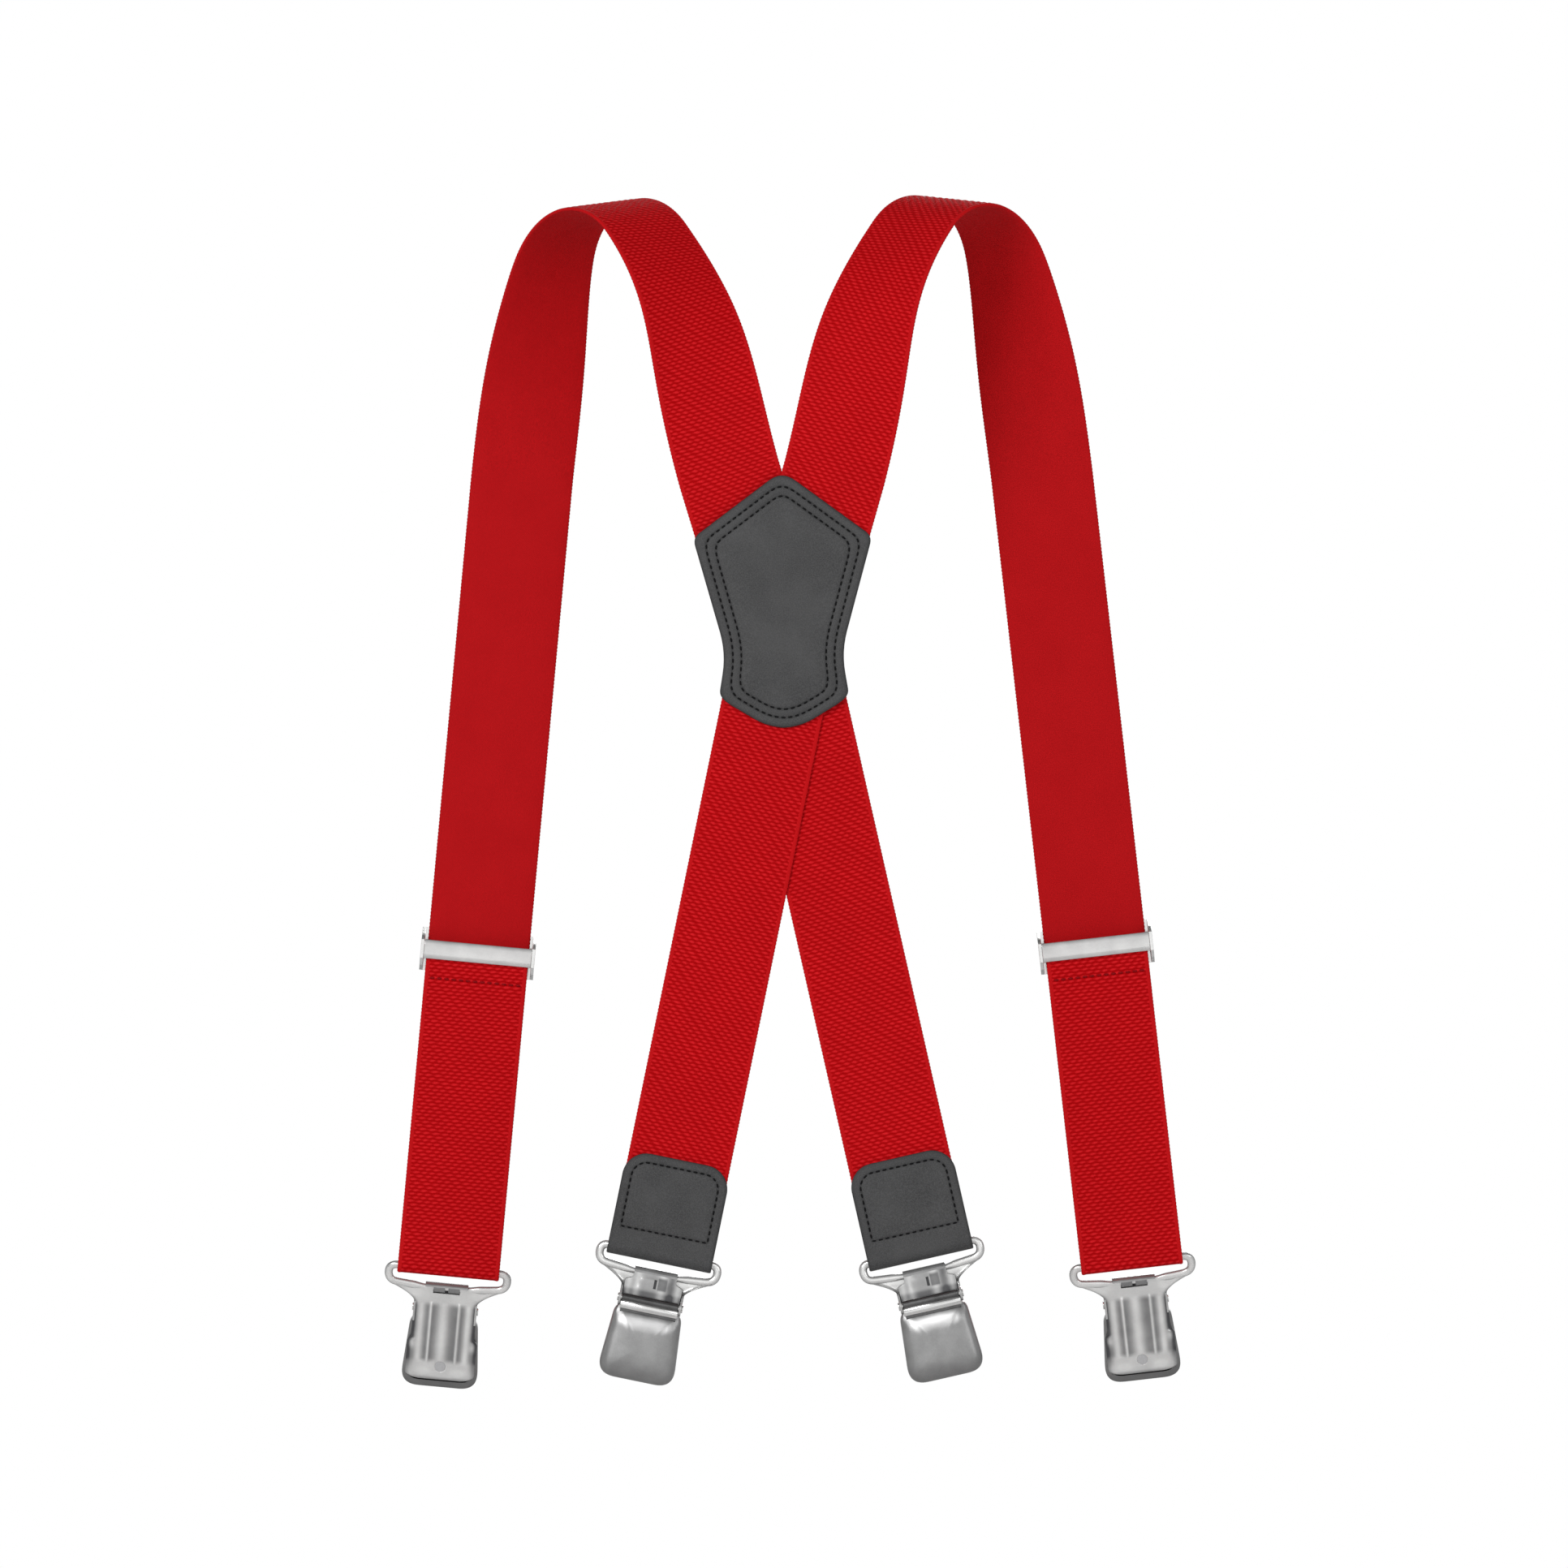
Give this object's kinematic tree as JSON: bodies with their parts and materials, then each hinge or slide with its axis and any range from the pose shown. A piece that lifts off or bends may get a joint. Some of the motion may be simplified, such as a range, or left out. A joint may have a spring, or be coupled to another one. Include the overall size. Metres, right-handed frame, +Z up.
{
  "type": "suspenders",
  "caption": "X-back elastic suspenders with a leather back patch, leather end tabs, slide adjusters on the front straps and lever clips.",
  "frame": {"origin": "midway between the undersides of the two shoulder arches, at their crowns", "axes": "+Z up, +X to the wearer's right, +Y out of the chest, -Y out of the back"},
  "size_m": [0.302, 0.0878, 0.4431],
  "materials": {
    "elastic": "pebbled woven elastic, matt with a slight sheen",
    "leather": "dark grey fine-grained leather, satin",
    "nickel": "bright nickel plate",
    "satin": "satin nickel plate",
    "nylon": "grey moulded nylon"
  },
  "bodies": {
    "straps": {"left_strap": "elastic", "right_strap": "elastic", "outer_patch": "leather", "inner_patch": "leather", "left_tab": "leather", "right_tab": "leather", "left_strap_lower": "elastic", "right_strap_lower": "elastic"},
    "back_left_clip": {"back_left_clip_body": "nickel", "back_left_clip_pin": "nickel", "back_left_clip_pad": "nylon"},
    "back_left_lever": {"back_left_clip_lever": "satin"},
    "back_left_tongue": {"back_left_clip_tongue": "nickel"},
    "back_right_clip": {"back_right_clip_body": "nickel", "back_right_clip_pin": "nickel", "back_right_clip_pad": "nylon"},
    "back_right_lever": {"back_right_clip_lever": "satin"},
    "back_right_tongue": {"back_right_clip_tongue": "nickel"},
    "left_loop": {"left_strap_fold": "elastic"},
    "left_adjuster": {"left_adjuster_frame": "nickel", "left_adjuster_rear_bar": "nickel", "left_adjuster_centre_bar": "nickel", "left_strap_end": "elastic", "left_strap_return": "elastic"},
    "front_left_clip": {"front_left_clip_body": "nickel", "front_left_clip_pin": "nickel", "front_left_clip_pad": "nylon"},
    "front_left_lever": {"front_left_clip_lever": "satin"},
    "front_left_tongue": {"front_left_clip_tongue": "nickel"},
    "right_loop": {"right_strap_fold": "elastic"},
    "right_adjuster": {"right_adjuster_frame": "nickel", "right_adjuster_rear_bar": "nickel", "right_adjuster_centre_bar": "nickel", "right_strap_end": "elastic", "right_strap_return": "elastic"},
    "front_right_clip": {"front_right_clip_body": "nickel", "front_right_clip_pin": "nickel", "front_right_clip_pad": "nylon"},
    "front_right_lever": {"front_right_clip_lever": "satin"},
    "front_right_tongue": {"front_right_clip_tongue": "nickel"}
  },
  "joints": [
    {"name": "back_left_clip_swing", "type": "hinge", "parent": "straps", "child": "back_left_clip", "pos_m": [-0.04806, -0.0287, -0.38866], "axis": [-0.9774, 0, 0.2113], "range_deg": [-90, 90]},
    {"name": "back_left_lever_open", "type": "hinge", "parent": "back_left_clip", "child": "back_left_lever", "pos_m": [-0.05186, -0.0349, -0.40626], "axis": [-0.9774, 0, 0.2113], "range_deg": [0, 100]},
    {"name": "back_left_tongue_spring", "type": "hinge", "parent": "back_left_clip", "child": "back_left_tongue", "pos_m": [-0.04966, -0.0287, -0.39609], "axis": [-0.9774, 0, 0.2113], "range_deg": [0, 10]},
    {"name": "back_right_clip_swing", "type": "hinge", "parent": "straps", "child": "back_right_clip", "pos_m": [0.04806, -0.0273, -0.38866], "axis": [-0.9774, 0, -0.2113], "range_deg": [-90, 90]},
    {"name": "back_right_lever_open", "type": "hinge", "parent": "back_right_clip", "child": "back_right_lever", "pos_m": [0.05186, -0.0335, -0.40626], "axis": [-0.9774, 0, -0.2113], "range_deg": [0, 100]},
    {"name": "back_right_tongue_spring", "type": "hinge", "parent": "back_right_clip", "child": "back_right_tongue", "pos_m": [0.04966, -0.0273, -0.39609], "axis": [-0.9774, 0, -0.2113], "range_deg": [0, 10]},
    {"name": "left_take_up", "type": "slide", "parent": "straps", "child": "left_loop", "axis": [0.1028, 0, 0.9947], "range_m": [-0.04, 0.05], "deforming": ["left_strap_lower"]},
    {"name": "left_adjuster_slide", "type": "slide", "parent": "left_loop", "child": "left_adjuster", "axis": [0.1028, 0, 0.9947], "range_m": [-0.04, 0.05], "deforming": ["left_strap_return"]},
    {"name": "front_left_clip_swing", "type": "hinge", "parent": "left_loop", "child": "front_left_clip", "pos_m": [-0.12717, 0.02575, -0.3944], "axis": [0.9947, 0, -0.1028], "range_deg": [-90, 80]},
    {"name": "front_left_lever_open", "type": "hinge", "parent": "front_left_clip", "child": "front_left_lever", "pos_m": [-0.12873, 0.03721, -0.40952], "axis": [0.9947, 0, -0.1028], "range_deg": [0, 100]},
    {"name": "front_left_tongue_spring", "type": "hinge", "parent": "front_left_clip", "child": "front_left_tongue", "pos_m": [-0.12791, 0.0281, -0.40159], "axis": [0.9947, 0, -0.1028], "range_deg": [0, 10]},
    {"name": "right_take_up", "type": "slide", "parent": "straps", "child": "right_loop", "axis": [-0.1028, 0, 0.9947], "range_m": [-0.04, 0.05], "deforming": ["right_strap_lower"]},
    {"name": "right_adjuster_slide", "type": "slide", "parent": "right_loop", "child": "right_adjuster", "axis": [-0.1028, 0, 0.9947], "range_m": [-0.04, 0.05], "deforming": ["right_strap_return"]},
    {"name": "front_right_clip_swing", "type": "hinge", "parent": "right_loop", "child": "front_right_clip", "pos_m": [0.12717, 0.02575, -0.3944], "axis": [0.9947, 0, 0.1028], "range_deg": [-90, 80]},
    {"name": "front_right_lever_open", "type": "hinge", "parent": "front_right_clip", "child": "front_right_lever", "pos_m": [0.12873, 0.03721, -0.40952], "axis": [0.9947, 0, 0.1028], "range_deg": [0, 100]},
    {"name": "front_right_tongue_spring", "type": "hinge", "parent": "front_right_clip", "child": "front_right_tongue", "pos_m": [0.12791, 0.0281, -0.40159], "axis": [0.9947, 0, 0.1028], "range_deg": [0, 10]}
  ],
  "couplings": [
    {"joint": "back_left_tongue_spring", "follows": "back_left_lever_open", "ratio": 0.1},
    {"joint": "back_right_tongue_spring", "follows": "back_right_lever_open", "ratio": 0.1},
    {"joint": "left_adjuster_slide", "follows": "left_take_up", "ratio": 1},
    {"joint": "front_left_tongue_spring", "follows": "front_left_lever_open", "ratio": 0.1},
    {"joint": "right_adjuster_slide", "follows": "right_take_up", "ratio": 1},
    {"joint": "front_right_tongue_spring", "follows": "front_right_lever_open", "ratio": 0.1}
  ]
}
